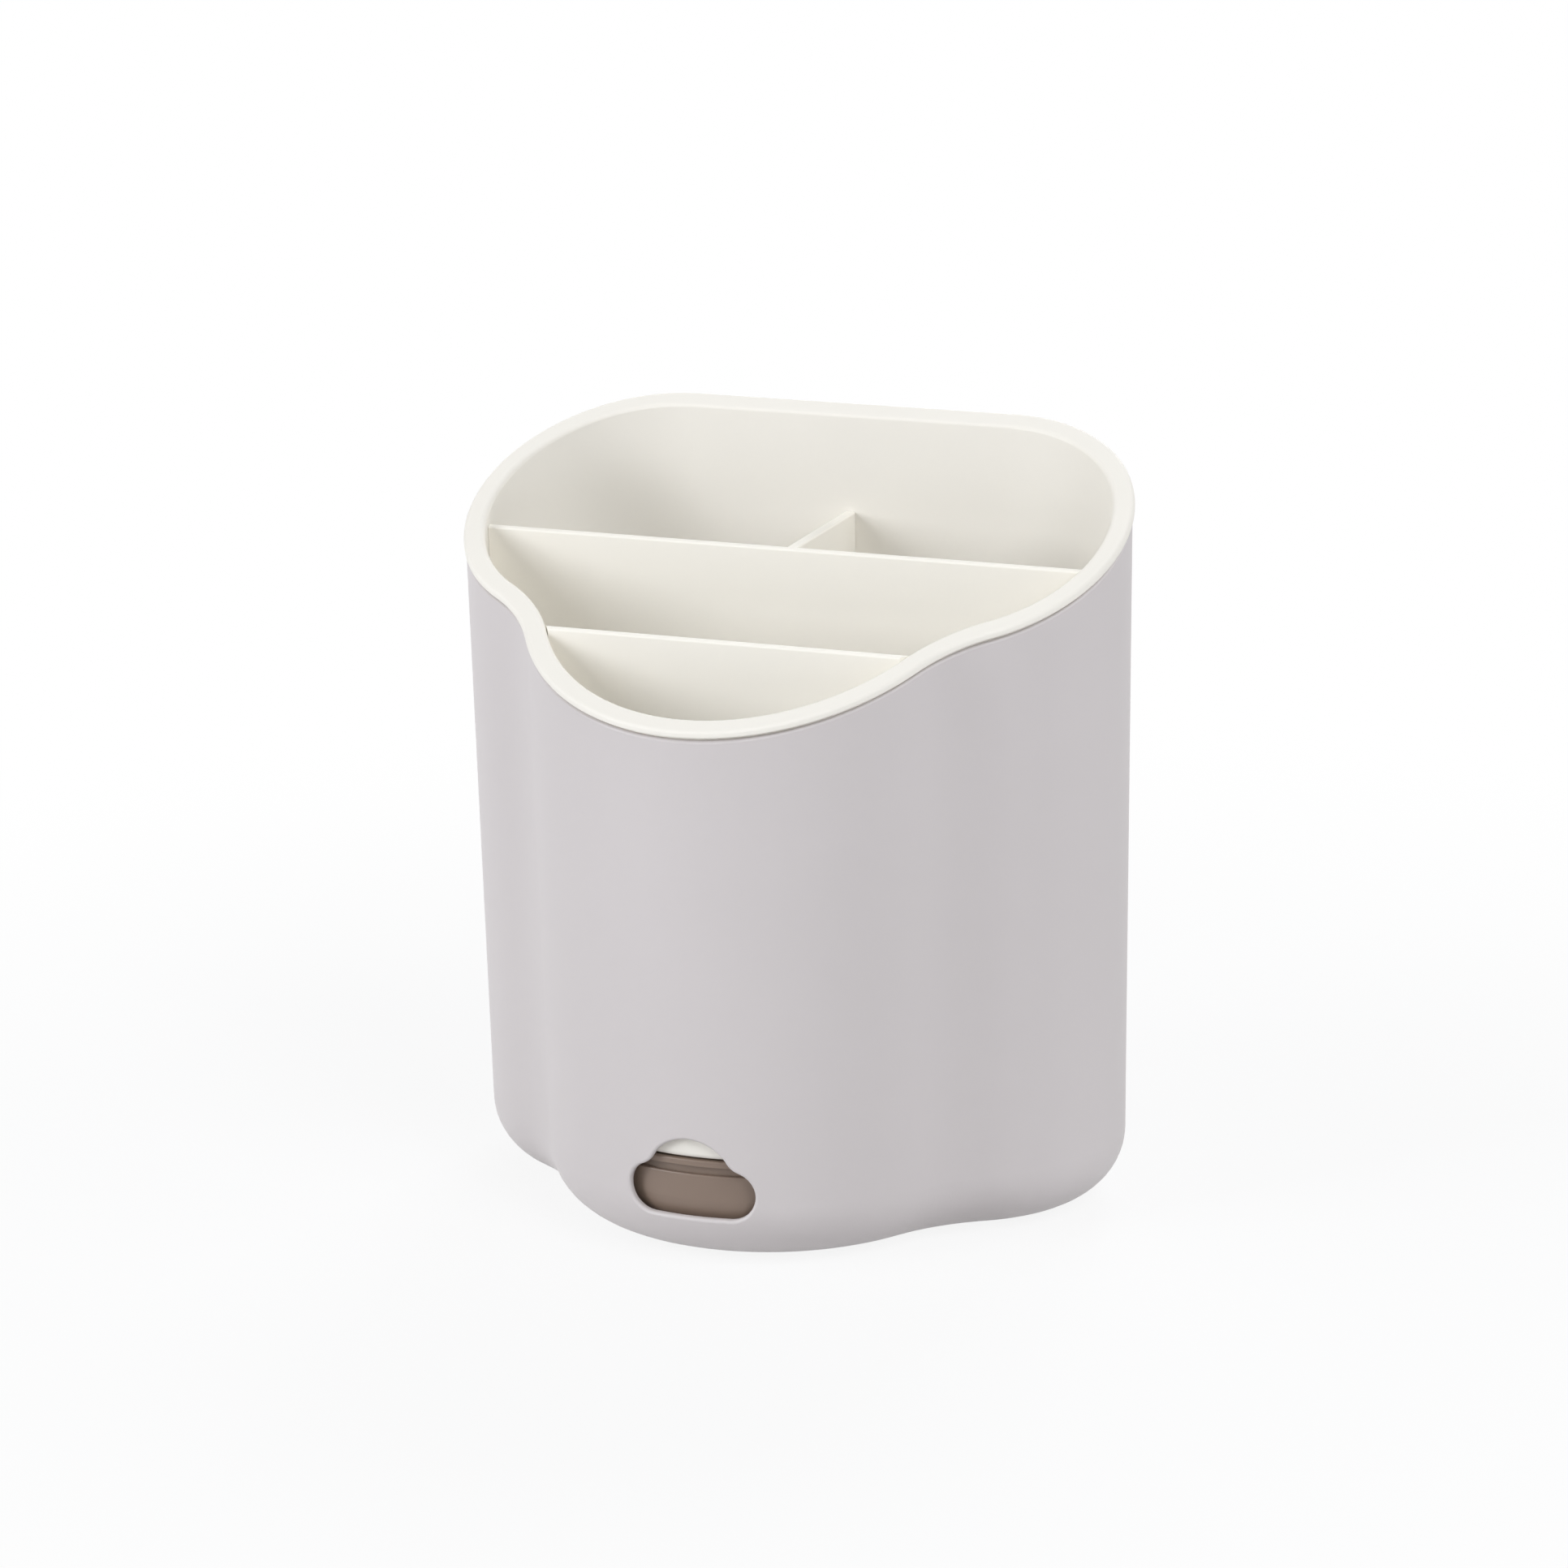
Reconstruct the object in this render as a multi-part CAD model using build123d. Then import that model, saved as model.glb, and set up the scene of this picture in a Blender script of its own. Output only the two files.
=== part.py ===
from build123d import *
import math
import os

# A slant-topped holder for chopsticks and cutlery. A liner with drop-in dividers hangs in an outer
# casing by its rolled rim, over a drip tray that shows through a cloud-shaped window low in front.
# Millimetres, +Z up, -Y to the front. The origin is the middle of the footprint, on the surface that
# the pads stand on.

# ---- Footprint: two side lobes and a front lobe, joined by hollow waists, with a flat back.
# ---- It is the casing's outer outline at the height of the rim's middle.
WIDTH = 150.0
DEPTH = 106.3
SIDE_LOBE_R = 37.0
FRONT_LOBE_R = 51.9
WAIST_R = 35.2
DRAFT = 0.85  # degrees that every upright wall leans outwards

# ---- Heights above the surface, at the back and the front of the sloping rim
BACK_HEIGHT = 167.0
FRONT_HEIGHT = 119.9

# ---- Outer casing
CASING_WALL = 1.8
CASING_FLOOR = 2.0
CASING_BASE_ROUND = 14.2
CASING_LIP_ROUND = 0.6

# ---- Cloud window in the front of the casing: heights above the surface
WINDOW_BOTTOM = 11.6
WINDOW_LOBE_R = 5.6
WINDOW_LOBE_SPREAD = 8.7  # from the middle to the centre of each side lobe
WINDOW_CROWN_R = 9.8
WINDOW_TOP = 29.3
WINDOW_NOTCH_R = 5.0
WINDOW_EDGE_ROUND = 0.6

# ---- Anti-slip pads under the casing
PAD_D = 12.0
PAD_PROUD = 0.6
PAD_POCKET = 1.0
PAD_SIDE_GAP = 0.1
PAD_FROM_ROUND = 4.0
BACK_PAD_ANGLE = 45.0
FRONT_PAD_ANGLE = -50.0

# ---- Inner liner
LINER_GAP = 0.4
LINER_WALL = 2.1
LINER_FLOOR = 2.0
LINER_UNDERSIDE = 24.4
LINER_BASE_ROUND = 1.5
LINER_FLOOR_ROUND = 3.0
RIM_THICKNESS = 1.5
RIM_OVERHANG = 0.45
RIM_EDGE_ROUND = 0.8
RIM_UNDER_ROUND = 0.3
RIM_MOUTH_ROUND = 1.1
SEAT_HEIGHT = 0.8  # step under the rim that stands on the casing's edge
SEAT_INSET = 0.8  # from the casing's outside in to that step

# ---- Drain slots in the liner's floor
SLOT_LENGTH = 12.0
SLOT_WIDTH = 3.0
SLOT_SPACE = 6.0
ROW_PITCH = 10.0
SLOT_MARGIN = 3.0

# ---- Dividers, plates that drop in between pairs of guide ribs
PLATE_THICKNESS = 2.4
PLATE_EDGE_ROUND = 0.5
PLATE_END_GAP = 0.1
PLATE_CORNER_EASE = 1.0  # how much fuller its bottom corners are than the liner's floor round
LONG_PLATE_Y = 9.2
LONG_PLATE_SINK = 3.1  # how far the level top lies under the sloping rim
FRONT_PLATE_Y = -25.0
FRONT_PLATE_SINK = 0.35
SHORT_PLATE_X = 0.0
SHORT_PLATE_SINK = 1.0  # how far its top lies under the long plate's
GUIDE_HEIGHT = 60.0  # above the liner's floor
GUIDE_WIDTH = 1.5
GUIDE_PROUD = 1.2
GUIDE_SIDE_GAP = 0.15

# ---- Drip tray, with a lip that stops short of the liner's underside and a finger groove under it
TRAY_GAP = 1.2
TRAY_HEADROOM = 0.3
TRAY_WALL = 2.2
TRAY_FLOOR = 1.8
TRAY_LIP_OUT = 0.7
TRAY_LIP_HEIGHT = 1.6
TRAY_LIP_ROUND = 0.4
TRAY_GROOVE_DEPTH = 0.8
TRAY_GROOVE_HEIGHT = 1.9
TRAY_GROOVE_ROUND = 0.4

# ---- Values worked out from those above
RIM_MIDDLE = (BACK_HEIGHT + FRONT_HEIGHT) / 2
RIM_SLOPE = (BACK_HEIGHT - FRONT_HEIGHT) / DEPTH
RIM_DROP = RIM_THICKNESS * math.hypot(1, RIM_SLOPE)
SEAT_DROP = RIM_DROP + SEAT_HEIGHT * math.hypot(1, RIM_SLOPE)
LEAN = math.tan(math.radians(DRAFT))
HEADROOM = 10.0
CLEAR_TOP = BACK_HEIGHT + HEADROOM

SIDE_LOBE = (WIDTH / 2 - SIDE_LOBE_R, DEPTH / 2 - SIDE_LOBE_R)
FRONT_LOBE = (0.0, FRONT_LOBE_R - DEPTH / 2)

CASING_BOTTOM = PAD_PROUD
CASING_FLOOR_TOP = CASING_BOTTOM + CASING_FLOOR
LINER_INSET = CASING_WALL + LINER_GAP
CAVITY_INSET = LINER_INSET + LINER_WALL
LINER_FLOOR_TOP = LINER_UNDERSIDE + LINER_FLOOR
TRAY_INSET = CASING_WALL + TRAY_GAP
TRAY_TOP = LINER_UNDERSIDE - TRAY_HEADROOM
GUIDE_TOP = LINER_FLOOR_TOP + GUIDE_HEIGHT
GUIDED_SPACE = PLATE_THICKNESS + 2 * GUIDE_SIDE_GAP


def outside_touch(center_a, radius_a, center_b, radius_b, radius, side):
    """Centre of a circle that touches two circles from outside, on the given side of the line a-b."""
    reach_a = radius_a + radius
    reach_b = radius_b + radius
    span_x = center_b[0] - center_a[0]
    span_y = center_b[1] - center_a[1]
    span = math.hypot(span_x, span_y)
    along = (reach_a**2 - reach_b**2 + span**2) / (2 * span)
    across = side * math.sqrt(reach_a**2 - along**2)
    x = center_a[0] + (along * span_x - across * span_y) / span
    y = center_a[1] + (along * span_y + across * span_x) / span
    return (x, y)


def toward(center, target, radius):
    """Point at a radius from a centre, in the direction of a target."""
    span = math.dist(center, target)
    x = center[0] + (target[0] - center[0]) * radius / span
    y = center[1] + (target[1] - center[1]) * radius / span
    return (x, y)


def polar(center, radius, degrees):
    """Point at a radius and an angle from a centre."""
    angle = math.radians(degrees)
    return (center[0] + radius * math.cos(angle), center[1] + radius * math.sin(angle))


def bearing(center, point):
    """Angle in degrees at which a point lies from a centre."""
    return math.degrees(math.atan2(point[1] - center[1], point[0] - center[0]))


WAIST = outside_touch(SIDE_LOBE, SIDE_LOBE_R, FRONT_LOBE, FRONT_LOBE_R, WAIST_R, 1)


def mirrored(point):
    """The same point on the other side of the middle."""
    return (-point[0], point[1])


def outward_at(z):
    """How far the drafted outline has grown at a height, against the middle of the rim."""
    return (z - RIM_MIDDLE) * LEAN


def footprint(grow):
    """Face of the footprint with its outline moved outwards by grow, on the XY plane."""
    side_r = SIDE_LOBE_R + grow
    front_r = FRONT_LOBE_R + grow
    waist_r = WAIST_R - grow
    front_end = toward(FRONT_LOBE, WAIST, front_r)
    side_start = toward(SIDE_LOBE, WAIST, side_r)
    side_middle = polar(SIDE_LOBE, side_r, (bearing(SIDE_LOBE, WAIST) + 90) / 2)
    side_end = polar(SIDE_LOBE, side_r, 90)
    front_middle = polar(FRONT_LOBE, front_r, -90)
    waist_chord = ((front_end[0] + side_start[0]) / 2, (front_end[1] + side_start[1]) / 2)
    waist_middle = toward(WAIST, waist_chord, waist_r)
    edges = [
        ThreePointArc(mirrored(front_end), front_middle, front_end),
        ThreePointArc(front_end, waist_middle, side_start),
        ThreePointArc(side_start, side_middle, side_end),
        Line(side_end, mirrored(side_end)),
        ThreePointArc(mirrored(side_end), mirrored(side_middle), mirrored(side_start)),
        ThreePointArc(mirrored(side_start), mirrored(waist_middle), mirrored(front_end)),
    ]
    return make_face(edges)


def drafted(inset, low, high, base_round=0.0):
    """Solid that follows the casing's outside at an inset, between two heights, round at its base."""
    bottom = Pos(0, 0, low) * footprint(outward_at(low) - inset)
    top = Pos(0, 0, high) * footprint(outward_at(high) - inset)
    solid = loft([bottom, top], ruled=True)
    if base_round > 0:
        solid = fillet(solid.edges().group_by(Axis.Z)[0], base_round)
    return solid


def rim_height(y):
    """Height of the sloping rim over a place."""
    return RIM_MIDDLE + RIM_SLOPE * y


def under_rim(solid, drop):
    """What lies of a solid under the plane of the rim lowered by a drop."""
    plane = Plane(origin=(0, 0, RIM_MIDDLE - drop), z_dir=(0, -RIM_SLOPE, 1))
    return split(solid, bisect_by=plane, keep=Keep.BOTTOM)


def rim_ring(solid, drop):
    """The flat ring of a solid that lies in the plane of the rim lowered by a drop."""

    def off(face):
        middle = face.center()
        return abs(middle.Z - rim_height(middle.Y) + drop)

    flats = solid.faces().filter_by(GeomType.PLANE)
    return min(flats, key=off)


def window_cutter():
    """Cloud-shaped prism that cuts the window through the casing's front wall."""
    lobe = (WINDOW_LOBE_SPREAD, WINDOW_BOTTOM + WINDOW_LOBE_R)
    crown = (0.0, WINDOW_TOP - WINDOW_CROWN_R)
    notch = outside_touch(lobe, WINDOW_LOBE_R, crown, WINDOW_CROWN_R, WINDOW_NOTCH_R, -1)
    lobe_low = polar(lobe, WINDOW_LOBE_R, -90)
    lobe_high = toward(lobe, notch, WINDOW_LOBE_R)
    lobe_middle = polar(lobe, WINDOW_LOBE_R, (bearing(lobe, notch) - 90) / 2)
    crown_low = toward(crown, notch, WINDOW_CROWN_R)
    crown_top = polar(crown, WINDOW_CROWN_R, 90)
    notch_chord = ((lobe_high[0] + crown_low[0]) / 2, (lobe_high[1] + crown_low[1]) / 2)
    notch_middle = toward(notch, notch_chord, WINDOW_NOTCH_R)
    edges = [
        Line(mirrored(lobe_low), lobe_low),
        ThreePointArc(lobe_low, lobe_middle, lobe_high),
        ThreePointArc(lobe_high, notch_middle, crown_low),
        ThreePointArc(crown_low, crown_top, mirrored(crown_low)),
        ThreePointArc(mirrored(crown_low), mirrored(notch_middle), mirrored(lobe_high)),
        ThreePointArc(mirrored(lobe_high), mirrored(lobe_middle), mirrored(lobe_low)),
    ]
    face = Plane.XZ * make_face(edges)
    return extrude(face, amount=DEPTH, dir=(0, -1, 0))


def pad_places():
    """Name and place of each pad, on the flat of the base."""
    to_edge = -outward_at(CASING_BOTTOM) + CASING_BASE_ROUND + PAD_FROM_ROUND + PAD_D / 2
    back = polar(SIDE_LOBE, SIDE_LOBE_R - to_edge, BACK_PAD_ANGLE)
    front = polar(FRONT_LOBE, FRONT_LOBE_R - to_edge, FRONT_PAD_ANGLE)
    return {
        "back_left_pad": mirrored(back),
        "back_right_pad": back,
        "front_left_pad": mirrored(front),
        "front_right_pad": front,
    }


def pad(place):
    """One round pad, seated in its pocket and standing proud of the base."""
    thickness = PAD_POCKET + PAD_PROUD
    disc = extrude(Pos(*place) * Circle(PAD_D / 2), amount=thickness)
    return fillet(disc.edges().group_by(Axis.Z)[0], PAD_PROUD / 2)


def outer_casing():
    """Outer shell with its floor, cloud window, pad pockets and sloping top edge."""
    shell = under_rim(drafted(0, CASING_BOTTOM, CLEAR_TOP, CASING_BASE_ROUND), SEAT_DROP)
    hollow_round = CASING_BASE_ROUND - CASING_WALL
    shell -= drafted(CASING_WALL, CASING_FLOOR_TOP, CLEAR_TOP, hollow_round)
    shell = fillet(rim_ring(shell, SEAT_DROP).edges(), CASING_LIP_ROUND)
    cutter = window_cutter()
    pierced = shell - cutter
    cut_edges = new_edges(shell, cutter, combined=pierced)
    shell = fillet(cut_edges.filter_by(Axis.Y, reverse=True), WINDOW_EDGE_ROUND)
    for place in pad_places().values():
        pocket = Circle(PAD_D / 2 + PAD_SIDE_GAP)
        shell -= extrude(Pos(*place, CASING_BOTTOM) * pocket, amount=PAD_POCKET)
    return shell


def rim_slab(inset, high, low):
    """Slab at an inset, between the planes of the rim lowered by high and by low."""
    slab = under_rim(drafted(inset, LINER_FLOOR_TOP, CLEAR_TOP), high)
    return slab - under_rim(drafted(inset - RIM_OVERHANG, LINER_UNDERSIDE, CLEAR_TOP), low)


def rim_flange():
    """Rolled rim of the liner with the step that it stands on, before its mouth is cut."""
    slab = rim_slab(-RIM_OVERHANG, 0, RIM_DROP)
    slab = fillet(rim_ring(slab, 0).edges(), RIM_EDGE_ROUND)
    slab = fillet(rim_ring(slab, RIM_DROP).edges(), RIM_UNDER_ROUND)
    return slab + rim_slab(SEAT_INSET, RIM_DROP / 2, SEAT_DROP)


def middle_span(middle, thickness):
    """Both faces of a wall of a thickness, about its middle."""
    return (middle - thickness / 2, middle + thickness / 2)


def block(x_span, y_span, low, high):
    """Box between spans of X, Y and Z."""
    center = ((x_span[0] + x_span[1]) / 2, (y_span[0] + y_span[1]) / 2, (low + high) / 2)
    return Pos(*center) * Box(x_span[1] - x_span[0], y_span[1] - y_span[0], high - low)


def plate(x_span, y_span, top):
    """Level-topped plate that stands on the liner's floor and ends just short of its walls."""
    corner = LINER_FLOOR_ROUND + PLATE_CORNER_EASE
    room = drafted(CAVITY_INSET + PLATE_END_GAP, LINER_FLOOR_TOP, CLEAR_TOP, corner)
    return block(x_span, y_span, LINER_FLOOR_TOP, top) & room


def cross_plate(y, sink):
    """Plate from side wall to side wall, its top a little under the rim."""
    top = rim_height(y) - sink
    upright = plate((-WIDTH, WIDTH), middle_span(y, PLATE_THICKNESS), top)
    return fillet(upright.edges().group_by(Axis.Z)[-1].filter_by(Axis.X), PLATE_EDGE_ROUND)


def wall_ribs(x_span, y_span):
    """Ribs that stand on the liner's walls and floor within a span of X and of Y."""
    root = drafted(CAVITY_INSET - LINER_WALL / 2, LINER_UNDERSIDE, CLEAR_TOP)
    room = drafted(CAVITY_INSET + GUIDE_PROUD, LINER_UNDERSIDE, CLEAR_TOP)
    return block(x_span, y_span, LINER_FLOOR_TOP - LINER_FLOOR / 2, GUIDE_TOP) & (root - room)


def cross_guides(y):
    """Two pairs of ribs that hold the ends of a cross plate."""
    everywhere = (-WIDTH, WIDTH)
    ribs = wall_ribs(everywhere, middle_span(y, GUIDED_SPACE + 2 * GUIDE_WIDTH))
    return ribs - block(everywhere, middle_span(y, GUIDED_SPACE), LINER_FLOOR_TOP, CLEAR_TOP)


def back_guides():
    """Pair of ribs that hold the short plate against the back wall."""
    x_span = middle_span(SHORT_PLATE_X, GUIDED_SPACE + 2 * GUIDE_WIDTH)
    ribs = wall_ribs(x_span, (0, DEPTH))
    return ribs - block(middle_span(SHORT_PLATE_X, GUIDED_SPACE), (0, DEPTH), LINER_FLOOR_TOP, CLEAR_TOP)


def long_divider():
    """Divider across the middle, with a pair of ribs behind that holds the short divider."""
    back = LONG_PLATE_Y + PLATE_THICKNESS / 2
    x_span = middle_span(SHORT_PLATE_X, GUIDED_SPACE + 2 * GUIDE_WIDTH)
    ribs = block(x_span, (LONG_PLATE_Y, back + GUIDE_PROUD), LINER_FLOOR_TOP, GUIDE_TOP)
    ribs -= block(middle_span(SHORT_PLATE_X, GUIDED_SPACE), (back, DEPTH), LINER_FLOOR_TOP, CLEAR_TOP)
    return cross_plate(LONG_PLATE_Y, LONG_PLATE_SINK) + ribs


def front_divider():
    """Divider across the mouth of the front lobe."""
    return cross_plate(FRONT_PLATE_Y, FRONT_PLATE_SINK)


def short_divider():
    """Divider from the long one to the back wall."""
    front = LONG_PLATE_Y + PLATE_THICKNESS / 2 + PLATE_END_GAP
    top = rim_height(LONG_PLATE_Y) - LONG_PLATE_SINK - SHORT_PLATE_SINK
    upright = plate(middle_span(SHORT_PLATE_X, PLATE_THICKNESS), (front, DEPTH), top)
    return fillet(upright.edges().group_by(Axis.Z)[-1].filter_by(Axis.Y), PLATE_EDGE_ROUND)


def floor_growth():
    """How far the flat of the liner's floor reaches, against the casing's outline at the rim."""
    return outward_at(LINER_FLOOR_TOP) - CAVITY_INSET - LINER_FLOOR_ROUND


def floor_half_width(y):
    """Half the width of the flat of the liner's floor, at a place from front to back."""
    side_r = SIDE_LOBE_R + floor_growth()
    waist_r = WAIST_R - floor_growth()
    front_r = FRONT_LOBE_R + floor_growth()
    if y > toward(SIDE_LOBE, WAIST, side_r)[1]:
        return SIDE_LOBE[0] + math.sqrt(max(side_r**2 - (y - SIDE_LOBE[1]) ** 2, 0))
    if y > toward(FRONT_LOBE, WAIST, front_r)[1]:
        return WAIST[0] - math.sqrt(waist_r**2 - (y - WAIST[1]) ** 2)
    return math.sqrt(max(front_r**2 - (y - FRONT_LOBE[1]) ** 2, 0))


def slot_row(y, left, right):
    """Centres of as many slots as fit in a row between two ends."""
    pitch = SLOT_LENGTH + SLOT_SPACE
    count = int((right - left - 2 * SLOT_MARGIN + SLOT_SPACE) // pitch)
    middle = (left + right) / 2
    return [(middle + (place - (count - 1) / 2) * pitch, y) for place in range(count)]


def slot_places():
    """Centres of all drain slots, row by row in each compartment."""
    half_plate = PLATE_THICKNESS / 2
    back_end = DEPTH / 2 + floor_growth()
    front_end = -back_end
    rooms = [
        (LONG_PLATE_Y + half_plate, back_end, True),
        (FRONT_PLATE_Y + half_plate, LONG_PLATE_Y - half_plate, False),
        (front_end, FRONT_PLATE_Y - half_plate, False),
    ]
    places = []
    for front, back, halved in rooms:
        rows = int((back - front - 2 * SLOT_MARGIN - SLOT_WIDTH) // ROW_PITCH) + 1
        for row in range(rows):
            y = (front + back) / 2 + (row - (rows - 1) / 2) * ROW_PITCH
            half = min(floor_half_width(y - SLOT_WIDTH / 2), floor_half_width(y + SLOT_WIDTH / 2))
            if halved:
                places += slot_row(y, -half, SHORT_PLATE_X - half_plate)
                places += slot_row(y, SHORT_PLATE_X + half_plate, half)
            else:
                places += slot_row(y, -half, half)
    return places


def inner_liner():
    """Liner with its rolled rim, drain floor and the guide ribs that hold the dividers."""
    liner = drafted(LINER_INSET, LINER_UNDERSIDE, CLEAR_TOP, LINER_BASE_ROUND)
    liner = under_rim(liner, RIM_DROP / 2)
    liner += rim_flange()
    liner -= drafted(CAVITY_INSET, LINER_FLOOR_TOP, CLEAR_TOP, LINER_FLOOR_ROUND)
    mouth = rim_ring(liner, 0).inner_wires()[0]
    liner = fillet(mouth.edges(), RIM_MOUTH_ROUND)
    liner += cross_guides(LONG_PLATE_Y) + cross_guides(FRONT_PLATE_Y) + back_guides()
    slot = SlotOverall(SLOT_LENGTH, SLOT_WIDTH)
    slots = Sketch() + [Pos(*place) * slot for place in slot_places()]
    liner -= extrude(Pos(0, 0, LINER_UNDERSIDE) * slots, amount=LINER_FLOOR)
    return liner


def drip_tray():
    """Shallow tray on the casing's floor, under the liner's drain slots."""
    outer_round = CASING_BASE_ROUND - CASING_WALL
    groove_top = TRAY_TOP - TRAY_LIP_HEIGHT
    groove_low = groove_top - TRAY_GROOVE_HEIGHT
    wall = drafted(TRAY_INSET, CASING_FLOOR_TOP, groove_low, outer_round)
    wall = fillet(wall.edges().group_by(Axis.Z)[-1], TRAY_GROOVE_ROUND)
    neck = drafted(TRAY_INSET + TRAY_GROOVE_DEPTH, groove_low - TRAY_GROOVE_HEIGHT, TRAY_TOP)
    lip = drafted(TRAY_INSET - TRAY_LIP_OUT, groove_top, TRAY_TOP)
    lip = fillet(lip.edges().group_by(Axis.Z)[0], TRAY_LIP_ROUND)
    tray = wall + neck + lip
    inner_round = outer_round - TRAY_WALL
    tray -= drafted(TRAY_INSET + TRAY_WALL, CASING_FLOOR_TOP + TRAY_FLOOR, CLEAR_TOP, inner_round)
    return fillet(tray.edges().group_by(Axis.Z)[-1], TRAY_LIP_ROUND)


os.makedirs("parts", exist_ok=True)
pieces = {
    "outer_casing": outer_casing(),
    "inner_liner": inner_liner(),
    "long_divider": long_divider(),
    "front_divider": front_divider(),
    "short_divider": short_divider(),
    "drip_tray": drip_tray(),
}
for name, place in pad_places().items():
    pieces[name] = pad(place)
for name, piece in pieces.items():
    export_step(piece, f"parts/{name}.step")
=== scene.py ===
"""Chopstick and cutlery holder: moulded finishes, small moulded details, camera and studio.

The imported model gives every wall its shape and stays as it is. This script dresses those walls in
moulded plastic, models the details that are too fine for them, and lights the holder on a pale table.
"""

import logging
import math
from dataclasses import dataclass
from enum import Enum
from typing import Any

import bmesh
import bpy
from mathutils import Matrix, Vector


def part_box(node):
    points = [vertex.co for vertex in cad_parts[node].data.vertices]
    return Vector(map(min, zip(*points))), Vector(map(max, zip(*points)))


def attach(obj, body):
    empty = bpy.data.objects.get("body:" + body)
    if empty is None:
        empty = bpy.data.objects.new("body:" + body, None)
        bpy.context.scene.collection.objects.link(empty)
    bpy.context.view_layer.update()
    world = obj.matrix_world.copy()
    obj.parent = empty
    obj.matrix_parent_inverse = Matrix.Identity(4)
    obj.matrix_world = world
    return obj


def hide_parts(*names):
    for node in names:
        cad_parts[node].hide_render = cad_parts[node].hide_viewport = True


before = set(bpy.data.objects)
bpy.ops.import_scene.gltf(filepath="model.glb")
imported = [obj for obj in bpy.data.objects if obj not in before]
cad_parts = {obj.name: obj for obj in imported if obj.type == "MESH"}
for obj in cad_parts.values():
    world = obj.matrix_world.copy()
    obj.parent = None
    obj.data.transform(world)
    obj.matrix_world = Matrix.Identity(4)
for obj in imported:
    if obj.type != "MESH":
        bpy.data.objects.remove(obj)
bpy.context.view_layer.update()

log = logging.getLogger("holder")

MM = 0.001
SHARP_CORNER = 30.0
NODES: dict[str, bpy.types.Object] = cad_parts


# ---------------------------------------------------------------------------------------------------
# Shader maths


class Wire:
    """A socket in a shader. Python's operators on it add Math nodes."""

    def __init__(self, shader: "Shader", socket: bpy.types.NodeSocket) -> None:
        """Wraps a socket.

        Args:
            shader: The shader that the socket belongs to.
            socket: The output socket.
        """
        self.shader = shader
        self.socket = socket

    def __add__(self, other: "Wire | float") -> "Wire":
        """Sum."""
        return self.shader.math("ADD", self, other)

    def __sub__(self, other: "Wire | float") -> "Wire":
        """Difference."""
        return self.shader.math("SUBTRACT", self, other)

    def __rsub__(self, other: float) -> "Wire":
        """Difference, with the socket on the right."""
        return self.shader.math("SUBTRACT", other, self)

    def __mul__(self, other: "Wire | float") -> "Wire":
        """Product."""
        return self.shader.math("MULTIPLY", self, other)

    __radd__ = __add__
    __rmul__ = __mul__


class Shader:
    """A node tree for a material or a world."""

    def __init__(self, owner: "bpy.types.Material | bpy.types.World") -> None:
        """Empties the owner's node tree.

        Args:
            owner: The material or world.
        """
        self.owner = owner
        owner.use_nodes = True
        self.tree = owner.node_tree
        self.tree.nodes.clear()

    def node(self, kind: str, settings: dict[str, Any], inputs: dict[Any, Any]) -> bpy.types.Node:
        """Adds a node.

        Args:
            kind: The node's type.
            settings: Attributes of the node.
            inputs: Values or wires by the name or number of the node's sockets.

        Returns:
            The new node.
        """
        made = self.tree.nodes.new(kind)
        for key, value in settings.items():
            setattr(made, key, value)
        for key, value in inputs.items():
            if isinstance(value, Wire):
                self.tree.links.new(value.socket, made.inputs[key])
            else:
                made.inputs[key].default_value = value
        return made

    def wire(self, kind: str, settings: dict[str, Any], inputs: dict[Any, Any], output: Any = 0) -> Wire:
        """Adds a node and gives one of its outputs.

        Args:
            kind: The node's type.
            settings: Attributes of the node.
            inputs: Values or wires by the name or number of the node's sockets.
            output: Name or number of the output.

        Returns:
            The output, wrapped.
        """
        return Wire(self, self.node(kind, settings, inputs).outputs[output])

    def math(self, operation: str, first: "Wire | float", second: "Wire | float") -> Wire:
        """Adds a Math node on two numbers."""
        return self.wire("ShaderNodeMath", {"operation": operation}, {0: first, 1: second})

    def place(self) -> Wire:
        """The point on the piece, in metres."""
        return self.wire("ShaderNodeTexCoord", {}, {}, "Object")

    def noise(self, size: float, detail: float) -> Wire:
        """Smooth noise from 0 to 1.

        Args:
            size: Width of one blotch in metres.
            detail: Octaves of finer noise.

        Returns:
            The noise's value.
        """
        inputs = {"Vector": self.place(), "Scale": 1 / size, "Detail": detail, "Roughness": 0.55}
        return self.wire("ShaderNodeTexNoise", {}, inputs)

    def blend(self, share: Wire, low: tuple[float, ...], high: tuple[float, ...]) -> Wire:
        """A colour between two.

        Args:
            share: How much of the second colour shows.
            low: Linear colour at a share of 0.
            high: Linear colour at a share of 1.

        Returns:
            The mixed colour.
        """
        settings = {"data_type": "RGBA", "clamp_factor": True}
        return self.wire("ShaderNodeMix", settings, {0: share, 6: low, 7: high}, 2)

    def seen_plain(self) -> Wire:
        """1 for rays that come straight from the camera, a mirror or a glass, else 0."""
        path = self.node("ShaderNodeLightPath", {}, {})
        glossy = Wire(self, path.outputs["Is Glossy Ray"])
        through = Wire(self, path.outputs["Is Transmission Ray"])
        camera = Wire(self, path.outputs["Is Camera Ray"])
        return self.math("MAXIMUM", camera, self.math("MAXIMUM", glossy, through))

    def finish(self, inputs: dict[str, Any]) -> bpy.types.Material:
        """Adds the Principled shader and the output.

        Args:
            inputs: Values or wires of the Principled shader's sockets.

        Returns:
            The finished material.
        """
        surface = self.wire("ShaderNodeBsdfPrincipled", {}, inputs)
        self.node("ShaderNodeOutputMaterial", {}, {"Surface": surface})
        return self.owner


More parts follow.
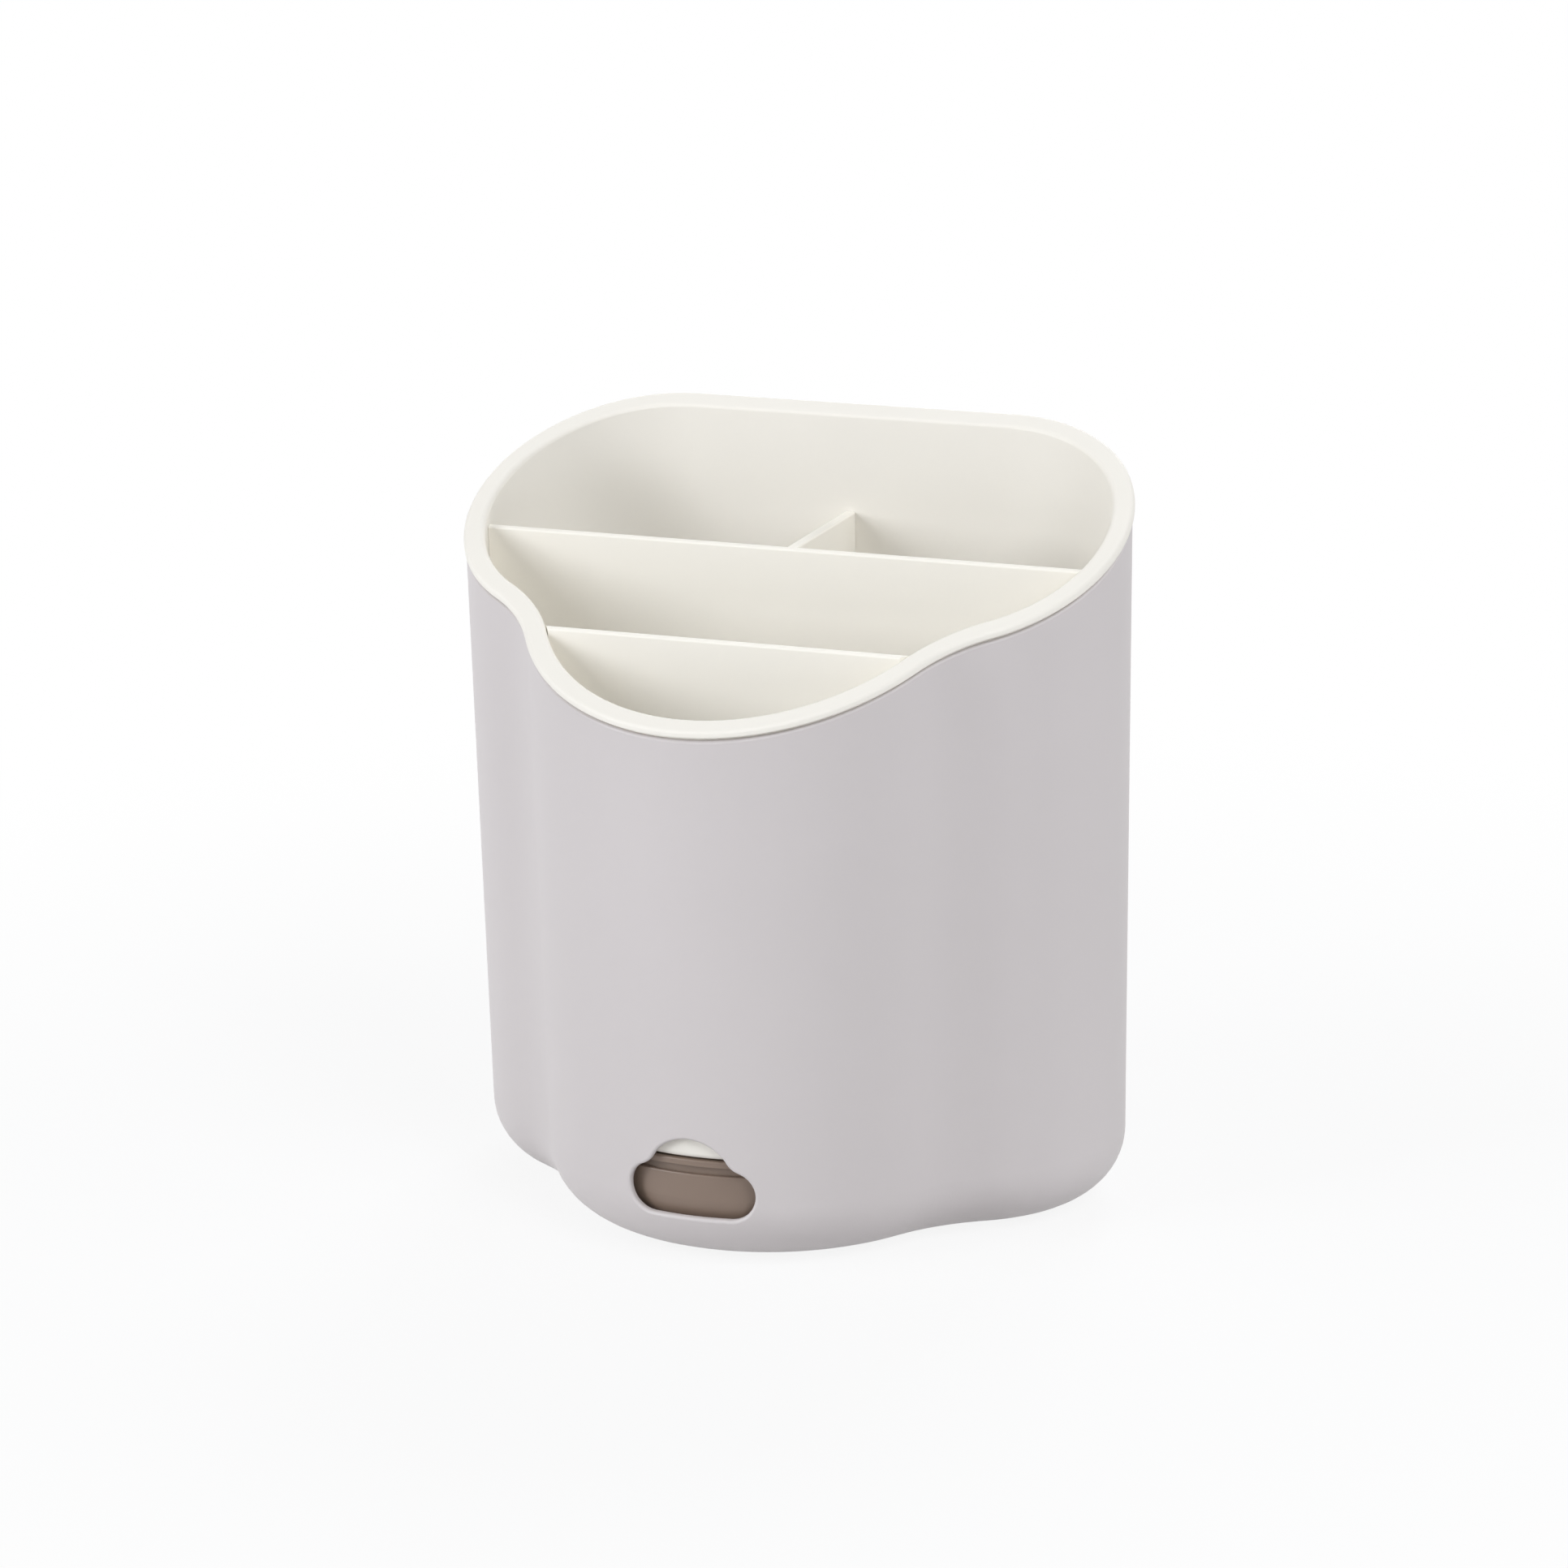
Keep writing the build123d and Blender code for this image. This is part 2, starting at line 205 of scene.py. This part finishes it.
def linear(shade: tuple[int, int, int], gain: float = 1.0) -> tuple[float, float, float, float]:
    """Linear colour of a screen colour.

    Args:
        shade: Red, green and blue, 0 to 255.
        gain: Factor on the linear colour.

    Returns:
        Linear red, green, blue and an alpha of 1.
    """
    parts = [(c / 255 / 12.92) if c <= 10 else ((c / 255 + 0.055) / 1.055) ** 2.4 for c in shade]
    return (parts[0] * gain, parts[1] * gain, parts[2] * gain, 1.0)


# ---------------------------------------------------------------------------------------------------
# Finishes


class MouldFace(Enum):
    """How the mould's steel was finished: width and depth of the grain that it leaves, in metres."""

    FINE_SPARK = (0.00042, 0.0000100)
    SATIN = (0.00090, 0.0000060)
    STONED = (0.00150, 0.0000040)

    @property
    def grain(self) -> float:
        """Width of one grain."""
        return self.value[0]

    @property
    def depth(self) -> float:
        """Height of the grain."""
        return self.value[1]


@dataclass(frozen=True)
class MouldedPlastic:
    """Injection-moulded plastic, coloured through, with the grain of its mould."""

    name: str
    shade: tuple[int, int, int]
    roughness: float
    face: MouldFace
    drift: float = 0.02
    drift_size: float = 0.045
    polish_size: float = 0.015
    sink_size: float = 0.03
    sink_depth: float = 0.00006
    roughness_spread: float = 0.08
    index: float = 1.5

    def material(self) -> bpy.types.Material:
        """Builds the material.

        Returns:
            Plastic whose tone and gloss drift slightly over the wall, under a fine grain.
        """
        shader = Shader(bpy.data.materials.new(self.name))
        drift = shader.noise(self.drift_size, 2.0)
        tone = shader.blend(drift, linear(self.shade, 1 - self.drift), linear(self.shade, 1 + self.drift))
        polish = shader.noise(self.polish_size, 3.0)
        roughness = self.roughness + self.roughness_spread * (polish - 0.5)
        swell = self.sink_depth * shader.noise(self.sink_size, 0.0)
        height = swell + self.face.depth * shader.noise(self.face.grain, 1.0)
        normal = shader.wire("ShaderNodeBump", {}, {"Strength": 1.0, "Distance": 1.0, "Height": height})
        return shader.finish(
            {"Base Color": tone, "Roughness": roughness, "IOR": self.index, "Normal": normal}
        )


@dataclass(frozen=True)
class PadRubber:
    """Soft grey rubber, matt, with a fine bloom."""

    name: str = "pad_rubber_matt"
    shade: tuple[int, int, int] = (150, 148, 146)
    roughness: float = 0.78
    bloom: float = 0.12
    grain: float = 0.0006
    grain_depth: float = 0.000012

    def material(self) -> bpy.types.Material:
        """Builds the material.

        Returns:
            Rubber with a blotchy bloom and a fine grain.
        """
        shader = Shader(bpy.data.materials.new(self.name))
        bloom = shader.noise(self.grain * 6, 3.0)
        tone = shader.blend(bloom, linear(self.shade, 1 - self.bloom), linear(self.shade, 1 + self.bloom))
        height = self.grain_depth * shader.noise(self.grain, 2.0)
        normal = shader.wire("ShaderNodeBump", {}, {"Strength": 1.0, "Distance": 1.0, "Height": height})
        roughness = self.roughness + self.bloom * (bloom - 0.5)
        return shader.finish({"Base Color": tone, "Roughness": roughness, "Normal": normal})


CASING_PLASTIC = MouldedPlastic("casing_plastic", (206, 200, 199), 0.46, MouldFace.FINE_SPARK, index=1.4)
LINER_PLASTIC = MouldedPlastic("liner_plastic", (240, 236, 227), 0.60, MouldFace.SATIN, index=1.4)
# The plates' white is the liner's white painted paler: painted light that brightens the dividers' faces.
DIVIDER_PLASTIC_PAINTED_PALER = MouldedPlastic("divider_plastic_painted_paler", (246, 242, 232), 0.55, MouldFace.SATIN, index=1.4)
TRAY_PLASTIC = MouldedPlastic("tray_plastic", (131, 113, 100), 0.38, MouldFace.STONED)
PAD_FINISH = PadRubber()


# ---------------------------------------------------------------------------------------------------
# Sub-assemblies


def dress(piece: bpy.types.Object, material: bpy.types.Material) -> None:
    """Gives a piece one material all over."""
    piece.data.materials.clear()
    piece.data.materials.append(material)
    log.info("%s dressed in %s", piece.name, material.name)


def add_disc(
    name: str, radius: float, low: float, high: float, centre: Vector, sides: int
) -> bpy.types.Object:
    """Adds an upright disc, as a primitive cylinder to be shaped further.

    Args:
        name: Name of the piece.
        radius: Its radius.
        low: Height of its underside.
        high: Height of its top.
        centre: Its middle, seen from above.
        sides: Number of sides of the cylinder.

    Returns:
        The piece, with its place in its mesh.
    """
    bpy.ops.object.select_all(action="DESELECT")
    middle = (centre.x, centre.y, (low + high) / 2)
    bpy.ops.mesh.primitive_cylinder_add(vertices=sides, radius=radius, depth=high - low, location=middle)
    piece = bpy.context.object
    piece.name = name
    bpy.ops.object.transform_apply(location=True, rotation=True, scale=True)
    return piece


def open_underside(piece: bpy.types.Object) -> None:
    """Goes into edit mode with only the faces of a piece's underside selected."""
    bpy.ops.object.mode_set(mode="EDIT")
    bpy.ops.mesh.select_mode(type="FACE")
    bpy.ops.mesh.select_all(action="DESELECT")
    mesh = bmesh.from_edit_mesh(piece.data)
    for face in mesh.faces:
        face.select_set(face.normal.z < -0.5)
    bmesh.update_edit_mesh(piece.data)


def close_and_smooth(piece: bpy.types.Object, bevel: float) -> None:
    """Leaves edit mode, rounds the sharp edges and shades the rest smooth.

    Args:
        piece: The piece that is in edit mode.
        bevel: Width of the rounding.
    """
    bpy.ops.object.mode_set(mode="OBJECT")
    rounding = piece.modifiers.new("edge_rounding", "BEVEL")
    rounding.width = bevel
    rounding.segments = 3
    rounding.limit_method = "ANGLE"
    rounding.angle_limit = math.radians(SHARP_CORNER)
    bpy.ops.object.modifier_apply(modifier=rounding.name)
    bpy.ops.object.shade_smooth_by_angle(angle=math.radians(SHARP_CORNER))


@dataclass
class OuterCasing:
    """Outer shell, with the mark of its mould's gate under the middle of its base."""

    node: str = "outer_casing"
    gate_radius: float = 2.2 * MM
    gate_rise: float = 0.25 * MM
    gate_sunk: float = 0.2 * MM
    gate_land: float = 0.7 * MM
    gate_dimple: float = 0.15 * MM
    gate_sides: int = 48
    edge_round: float = 0.06 * MM

    def build(self) -> None:
        """Dresses the shell and models the gate mark."""
        plastic = CASING_PLASTIC.material()
        dress(NODES[self.node], plastic)
        dress(self.gate_mark(), plastic)

    def gate_mark(self) -> bpy.types.Object:
        """Models the round gate mark, with a dimple where the sprue broke off.

        Returns:
            The gate mark.
        """
        low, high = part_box(self.node)
        middle = (low + high) / 2
        mark = add_disc(
            "casing_gate_mark",
            self.gate_radius,
            low.z - self.gate_rise,
            low.z + self.gate_sunk,
            middle,
            self.gate_sides,
        )
        open_underside(mark)
        bpy.ops.mesh.inset(thickness=self.gate_land)
        bpy.ops.mesh.inset(thickness=self.gate_dimple, depth=-self.gate_dimple)
        close_and_smooth(mark, self.edge_round)
        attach(mark, "casing")
        return mark


@dataclass
class LinerAndDividers:
    """Liner with its rim, and the thin plates that drop into it."""

    liner: str = "inner_liner"
    plates: tuple[str, ...] = ("long_divider", "front_divider", "short_divider")

    def build(self) -> None:
        """Dresses the liner in warm white and the plates in the same white, painted a little paler: painted
        light on their faces.
        """
        dress(NODES[self.liner], LINER_PLASTIC.material())
        plastic = DIVIDER_PLASTIC_PAINTED_PALER.material()
        for name in self.plates:
            dress(NODES[name], plastic)


@dataclass
class DripTray:
    """Tray on the casing's floor."""

    node: str = "drip_tray"

    def build(self) -> None:
        """Dresses the tray."""
        dress(NODES[self.node], TRAY_PLASTIC.material())


@dataclass
class AntiSlipPads:
    """Round rubber pads under the casing, with rings cut in the face that they stand on."""

    nodes: tuple[str, ...] = ("back_left_pad", "back_right_pad", "front_left_pad", "front_right_pad")
    sides: int = 96
    rings: int = 2
    land: float = 1.3 * MM
    groove: float = 0.7 * MM
    groove_depth: float = 0.4 * MM
    groove_draft: float = 0.1 * MM
    edge_round: float = 0.15 * MM

    def build(self) -> None:
        """Models one pad and copies it to the place of each."""
        rubber = PAD_FINISH.material()
        first = self.model()
        pads = [first] + [self.copy(first, name) for name in self.nodes[1:]]
        for pad, name in zip(pads, self.nodes):
            dress(pad, rubber)
            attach(pad, "casing")
            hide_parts(name)

    def model(self) -> bpy.types.Object:
        """Models the first pad.

        Returns:
            The pad.
        """
        low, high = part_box(self.nodes[0])
        radius = (high.x - low.x) / 2
        pad = add_disc(f"{self.nodes[0]}_ringed", radius, low.z, high.z, (low + high) / 2, self.sides)
        open_underside(pad)
        for _ in range(self.rings):
            bpy.ops.mesh.inset(thickness=self.land)
            bpy.ops.mesh.inset(thickness=self.groove_draft, depth=-self.groove_depth)
            bpy.ops.mesh.inset(thickness=self.groove)
            bpy.ops.mesh.inset(thickness=self.groove_draft, depth=self.groove_depth)
        close_and_smooth(pad, self.edge_round)
        return pad

    def copy(self, first: bpy.types.Object, name: str) -> bpy.types.Object:
        """Copies the first pad, with a mesh of its own, to the place of a node.

        Args:
            first: The pad that is copied.
            name: The node whose place the copy takes.

        Returns:
            The copy.
        """
        pad = first.copy()
        pad.data = first.data.copy()
        pad.name = f"{name}_ringed"
        bpy.context.scene.collection.objects.link(pad)
        pad.data.transform(Matrix.Translation(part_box(name)[0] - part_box(self.nodes[0])[0]))
        return pad


# ---------------------------------------------------------------------------------------------------
# Camera and studio


def direction(azimuth: float, elevation: float) -> Vector:
    """Unit vector towards a place around the holder.

    Args:
        azimuth: Degrees from straight in front, positive to the right.
        elevation: Degrees above the table.

    Returns:
        The vector, pointing away from the holder.
    """
    turn = math.radians(azimuth)
    rise = math.radians(elevation)
    return Vector((math.sin(turn) * math.cos(rise), -math.cos(turn) * math.cos(rise), math.sin(rise)))


@dataclass
class ViewCamera:
    """The camera, from the front right and a little above."""

    azimuth: float = 22.3176
    elevation: float = 16.0371
    roll: float = -1.164
    lens_mm: float = 134.16
    distance: float = 1.2738
    target: tuple[float, float, float] = (0.0, 0.006928, 0.091946)

    def build(self) -> bpy.types.Object:
        """Makes the camera and gives it to the scene.

        Returns:
            The camera.
        """
        data = bpy.data.cameras.new("view_camera")
        data.lens = self.lens_mm
        data.sensor_width = 36.0
        data.sensor_fit = "HORIZONTAL"
        camera = bpy.data.objects.new("view_camera", data)
        bpy.context.scene.collection.objects.link(camera)
        back = direction(self.azimuth, self.elevation)
        level = Vector((math.cos(math.radians(self.azimuth)), math.sin(math.radians(self.azimuth)), 0.0))
        upright = back.cross(level)
        roll = math.radians(self.roll)
        right = level * math.cos(roll) + upright * math.sin(roll)
        up = upright * math.cos(roll) - level * math.sin(roll)
        turned = Matrix((right, up, back)).transposed().to_4x4()
        turned.translation = Vector(self.target) + back * self.distance
        camera.matrix_world = turned
        bpy.context.scene.camera = camera
        return camera


@dataclass(frozen=True)
class Softbox:
    """A lamp behind a square diffuser, aimed at the holder."""

    name: str
    azimuth: float
    elevation: float
    strength: float
    side: float = 1.25
    distance: float = 4.0
    aim: float = 0.09
    tint: tuple[float, float, float] = (0.975, 1.0, 1.045)

    def build(self) -> bpy.types.Object:
        """Makes the lamp. A strength of 1 alone shows a colour that faces it as it is written.

        Returns:
            The lamp.
        """
        data = bpy.data.lights.new(self.name, "AREA")
        data.shape = "SQUARE"
        data.size = self.side
        data.energy = self.strength * math.pi**2 * self.distance**2
        data.color = self.tint
        lamp = bpy.data.objects.new(self.name, data)
        bpy.context.scene.collection.objects.link(lamp)
        away = direction(self.azimuth, self.elevation)
        lamp.rotation_mode = "QUATERNION"
        lamp.rotation_quaternion = away.to_track_quat("Z", "Y")
        lamp.location = Vector((0.0, 0.0, self.aim)) + away * self.distance
        lamp.visible_camera = False
        return lamp


@dataclass
class Studio:
    """Pale table, white surround and soft lamps."""

    table_size: float = 8.0
    table_white: float = 0.75
    shadow_share: float = 0.12
    shadow_near: float = 0.12
    shadow_far: float = 0.42
    ambient: float = 0.17
    ambient_tint: tuple[float, float, float, float] = (1.0, 0.98, 0.94, 1.0)
    lamps: tuple[Softbox, ...] = (
        Softbox("left_key_low", -45.0, 12.0, 0.30),
        Softbox("left_key_high", -45.0, 30.0, 0.20),
        Softbox("left_side", -65.0, 30.0, 0.13),
        Softbox("right_fill_low", 48.0, 30.0, 0.25),
        Softbox("right_fill_high", 62.0, 50.0, 0.26),
        Softbox("right_side", 95.0, 30.0, 0.13),
        Softbox("back_high", 180.0, 40.0, 0.24),
        Softbox("back_low", 195.0, 20.0, 0.24),
    )

    def build(self) -> None:
        """Makes the table, the surround and the lamps."""
        self.table()
        self.surround()
        for lamp in self.lamps:
            lamp.build()
        bpy.context.scene.view_settings.view_transform = "Standard"

    def table(self) -> None:
        """Makes the table top, a white sheet that keeps a soft shadow around the holder."""
        bpy.ops.object.select_all(action="DESELECT")
        bpy.ops.mesh.primitive_plane_add(size=self.table_size)
        top = bpy.context.object
        top.name = "table_top"
        paper = bpy.data.materials.new("table_paper")
        shader = Shader(paper)
        diffuse = shader.wire(
            "ShaderNodeBsdfDiffuse", {}, {"Color": (self.table_white, self.table_white, self.table_white, 1)}
        )
        white = shader.wire("ShaderNodeEmission", {}, {"Color": (1, 1, 1, 1), "Strength": 1.0})
        away = shader.wire("ShaderNodeVectorMath", {"operation": "LENGTH"}, {0: shader.place()}, "Value")
        fade = {"From Min": self.shadow_near, "From Max": self.shadow_far, "To Min": 1.0, "To Max": 0.0}
        near = shader.wire(
            "ShaderNodeMapRange", {"interpolation_type": "SMOOTHSTEP"}, {"Value": away, **fade}
        )
        share = shader.seen_plain() * (1 - self.shadow_share * near)
        mixed = shader.wire("ShaderNodeMixShader", {}, {0: share, 1: diffuse, 2: white})
        shader.node("ShaderNodeOutputMaterial", {}, {"Surface": mixed})
        dress(top, paper)

    def surround(self) -> None:
        """Makes the white surround, which lights the holder only with its ambient level."""
        world = bpy.data.worlds.new("surround")
        bpy.context.scene.world = world
        shader = Shader(world)
        plain = shader.seen_plain()
        strength = self.ambient + (1 - self.ambient) * plain
        colour = shader.blend(plain, self.ambient_tint, (1, 1, 1, 1))
        backdrop = shader.wire("ShaderNodeBackground", {}, {"Color": colour, "Strength": strength})
        shader.node("ShaderNodeOutputWorld", {}, {"Surface": backdrop})


def main() -> None:
    """Builds the holder, the camera and the studio."""
    logging.basicConfig(level=logging.INFO, format="%(name)s: %(message)s")
    ViewCamera().build()
    Studio().build()
    for part in (OuterCasing(), LinerAndDividers(), DripTray(), AntiSlipPads()):
        part.build()
        log.info("%s built", type(part).__name__)


if __name__ == "__main__":
    main()
